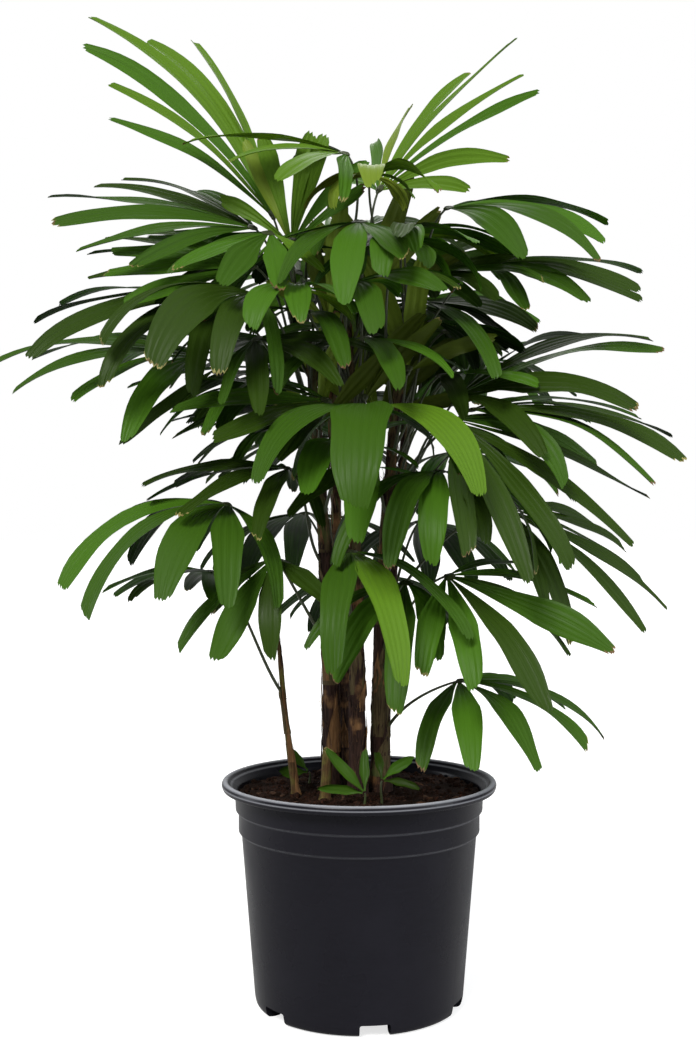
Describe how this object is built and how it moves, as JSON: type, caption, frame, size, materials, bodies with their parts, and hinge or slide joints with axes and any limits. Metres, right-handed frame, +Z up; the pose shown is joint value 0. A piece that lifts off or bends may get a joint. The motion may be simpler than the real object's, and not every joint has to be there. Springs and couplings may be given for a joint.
{
  "type": "potted lady palm",
  "caption": "Clump of slender canes with fans of long blunt leaflets that arch and droop on thin stalks, in a round nursery pot filled with soil.",
  "frame": {"origin": "on the pot's axis, at the flat underside that the pot stands on", "axes": "+Z up along the pot's axis; the viewer of the picture is on the -Y side and +X is to their right"},
  "size_m": [0.7058, 0.5891, 1.035],
  "materials": {
    "pot": "satin black moulded plastic",
    "soil": "dark crumbly potting soil",
    "cane": "matted brown fibre",
    "frond": "leathery green leaf with fine ribs"
  },
  "bodies": {
    "root": {"pot": "pot", "soil": "soil", "cane_left": "cane", "cane_middle": "cane", "cane_right": "cane", "cane_far_left": "cane", "cane_far_right": "cane", "cane_young": "cane", "cane_stub": "cane", "frond_top_1": "frond", "frond_top_2": "frond", "frond_top_3": "frond", "frond_top_4": "frond", "frond_top_5": "frond", "frond_top_6": "frond", "frond_left_1": "frond", "frond_left_2": "frond", "frond_left_3": "frond", "frond_left_4": "frond", "frond_left_5": "frond", "frond_left_6": "frond", "frond_left_7": "frond", "frond_left_8": "frond", "frond_left_9": "frond", "frond_left_10": "frond", "frond_left_11": "frond", "frond_left_12": "frond", "frond_left_13": "frond", "frond_left_14": "frond", "frond_right_1": "frond", "frond_right_2": "frond", "frond_right_3": "frond", "frond_right_4": "frond", "frond_right_5": "frond", "frond_right_6": "frond", "frond_right_7": "frond", "frond_right_8": "frond", "frond_right_9": "frond", "frond_right_10": "frond", "frond_front_1": "frond", "frond_front_2": "frond", "frond_front_3": "frond", "frond_front_4": "frond", "frond_front_5": "frond", "frond_front_6": "frond", "frond_front_7": "frond", "frond_front_8": "frond", "frond_back_1": "frond", "frond_back_2": "frond", "frond_back_3": "frond", "frond_back_4": "frond", "frond_back_5": "frond", "frond_back_6": "frond", "frond_back_7": "frond", "frond_back_8": "frond", "frond_back_9": "frond", "frond_back_10": "frond", "frond_low_1": "frond", "frond_low_2": "frond", "frond_low_3": "frond"}
  },
  "joints": []
}
